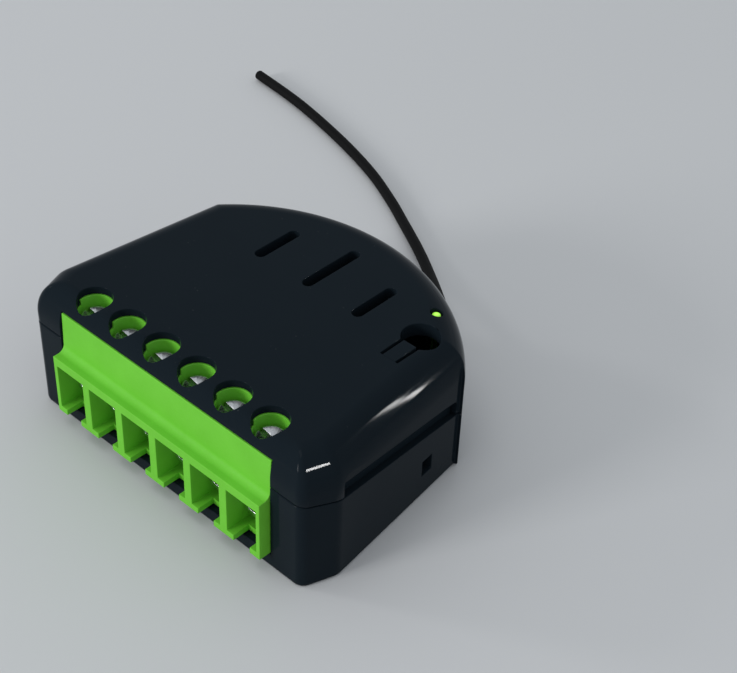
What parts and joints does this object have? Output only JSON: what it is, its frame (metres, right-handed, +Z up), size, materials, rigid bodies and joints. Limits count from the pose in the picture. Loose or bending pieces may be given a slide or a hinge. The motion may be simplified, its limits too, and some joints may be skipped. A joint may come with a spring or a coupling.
{
  "type": "smart relay module",
  "caption": "Flat in-wall relay module with a round-ended black case, a green screw terminal block, a button, a status light and a wire antenna; the terminal clamps, button and relay move.",
  "frame": {"origin": "underside of the case, in the middle of its width and of its depth with the terminal block", "axes": "+X along the terminal row, -Y out of the wire mouths, +Z up through the top plate"},
  "size_m": [0.0721, 0.064, 0.0156],
  "materials": {
    "case_black": "glossy moulded",
    "terminal_green": "satin moulded",
    "steel_plated": "bright plated",
    "contact_tin": "tinned brass",
    "contact_bronze": "spring bronze",
    "copper": "enamelled copper wire",
    "iron": "nickel plated iron",
    "lens_clear": "clear moulded, lit green",
    "led_white": "moulded",
    "board_green": "solder resist",
    "relay_blue": "moulded",
    "relay_dark": "moulded",
    "bobbin_cream": "moulded",
    "film_yellow": "moulded box",
    "varistor_blue": "dipped coating",
    "can_sleeve": "shrink sleeve",
    "ferrite": "sintered",
    "resistor_blue": "lacquer",
    "chip_black": "moulded",
    "wire_black": "insulated wire"
  },
  "bodies": {
    "module": {"lower_shell": "case_black", "top_cover": "case_black", "light_pipe": "lens_clear", "status_led": "led_white", "circuit_board": "board_green", "terminal_housing": "terminal_green", "contact_bar_1": "contact_tin", "contact_bar_2": "contact_tin", "contact_bar_3": "contact_tin", "contact_bar_4": "contact_tin", "contact_bar_5": "contact_tin", "contact_bar_6": "contact_tin", "relay_base": "relay_dark", "relay_cover": "relay_blue", "relay_bobbin": "bobbin_cream", "relay_coil": "copper", "relay_core": "iron", "relay_yoke": "iron", "relay_contact_closed": "contact_bronze", "relay_contact_open": "contact_bronze", "relay_coil_pins": "contact_tin", "switch_body": "relay_dark", "switch_dome": "steel_plated", "film_capacitor": "film_yellow", "varistor": "varistor_blue", "capacitor_1": "can_sleeve", "capacitor_2": "can_sleeve", "inductor_core": "ferrite", "inductor_winding": "copper", "fuse_resistor": "resistor_blue", "bridge_rectifier": "chip_black", "converter_chip": "chip_black", "radio_board": "board_green", "radio_chip": "chip_black", "shield_can": "steel_plated", "antenna_lead": "wire_black", "antenna_wire": "wire_black"},
    "screw_1": {"terminal_screw_1": "steel_plated"},
    "screw_2": {"terminal_screw_2": "steel_plated"},
    "screw_3": {"terminal_screw_3": "steel_plated"},
    "screw_4": {"terminal_screw_4": "steel_plated"},
    "screw_5": {"terminal_screw_5": "steel_plated"},
    "screw_6": {"terminal_screw_6": "steel_plated"},
    "cage_1": {"clamp_cage_1": "steel_plated"},
    "cage_2": {"clamp_cage_2": "steel_plated"},
    "cage_3": {"clamp_cage_3": "steel_plated"},
    "cage_4": {"clamp_cage_4": "steel_plated"},
    "cage_5": {"clamp_cage_5": "steel_plated"},
    "cage_6": {"clamp_cage_6": "steel_plated"},
    "button": {"service_button": "case_black"},
    "plunger": {"switch_plunger": "bobbin_cream"},
    "armature": {"relay_armature": "iron", "relay_blade": "contact_bronze"}
  },
  "joints": [
    {"name": "screw_1_turn", "type": "hinge", "parent": "module", "child": "screw_1", "pos_m": [-0.0125, -0.0128, 0.012], "axis": [0, 0, 1], "range_deg": [-1600, 0]},
    {"name": "screw_2_turn", "type": "hinge", "parent": "module", "child": "screw_2", "pos_m": [-0.0075, -0.0128, 0.012], "axis": [0, 0, 1], "range_deg": [-1600, 0]},
    {"name": "screw_3_turn", "type": "hinge", "parent": "module", "child": "screw_3", "pos_m": [-0.0025, -0.0128, 0.012], "axis": [0, 0, 1], "range_deg": [-1600, 0]},
    {"name": "screw_4_turn", "type": "hinge", "parent": "module", "child": "screw_4", "pos_m": [0.0025, -0.0128, 0.012], "axis": [0, 0, 1], "range_deg": [-1600, 0]},
    {"name": "screw_5_turn", "type": "hinge", "parent": "module", "child": "screw_5", "pos_m": [0.0075, -0.0128, 0.012], "axis": [0, 0, 1], "range_deg": [-1600, 0]},
    {"name": "screw_6_turn", "type": "hinge", "parent": "module", "child": "screw_6", "pos_m": [0.0125, -0.0128, 0.012], "axis": [0, 0, 1], "range_deg": [-1600, 0]},
    {"name": "cage_1_lift", "type": "slide", "parent": "module", "child": "cage_1", "axis": [0, 0, 1], "range_m": [0, 0.002]},
    {"name": "cage_2_lift", "type": "slide", "parent": "module", "child": "cage_2", "axis": [0, 0, 1], "range_m": [0, 0.002]},
    {"name": "cage_3_lift", "type": "slide", "parent": "module", "child": "cage_3", "axis": [0, 0, 1], "range_m": [0, 0.002]},
    {"name": "cage_4_lift", "type": "slide", "parent": "module", "child": "cage_4", "axis": [0, 0, 1], "range_m": [0, 0.002]},
    {"name": "cage_5_lift", "type": "slide", "parent": "module", "child": "cage_5", "axis": [0, 0, 1], "range_m": [0, 0.002]},
    {"name": "cage_6_lift", "type": "slide", "parent": "module", "child": "cage_6", "axis": [0, 0, 1], "range_m": [0, 0.002]},
    {"name": "button_press", "type": "hinge", "parent": "module", "child": "button", "pos_m": [0.0142, 0.00125, 0.015], "axis": [1, 0, 0], "range_deg": [-6.5, 0], "stiffness_Nm_per_rad": 0.02},
    {"name": "plunger_press", "type": "slide", "parent": "module", "child": "plunger", "axis": [0, 0, 1], "range_m": [-0.00025, 0], "stiffness_N_per_m": 2000},
    {"name": "armature_swing", "type": "hinge", "parent": "module", "child": "armature", "pos_m": [-0.0083, 0.0049, 0.0123], "axis": [1, 0, 0], "range_deg": [-5, 0], "stiffness_Nm_per_rad": 0.002}
  ],
  "couplings": [
    {"joint": "screw_1_turn", "follows": "cage_1_lift", "rad_per_m": -13960},
    {"joint": "screw_2_turn", "follows": "cage_2_lift", "rad_per_m": -13960},
    {"joint": "screw_3_turn", "follows": "cage_3_lift", "rad_per_m": -13960},
    {"joint": "screw_4_turn", "follows": "cage_4_lift", "rad_per_m": -13960},
    {"joint": "screw_5_turn", "follows": "cage_5_lift", "rad_per_m": -13960},
    {"joint": "screw_6_turn", "follows": "cage_6_lift", "rad_per_m": -13960}
  ]
}
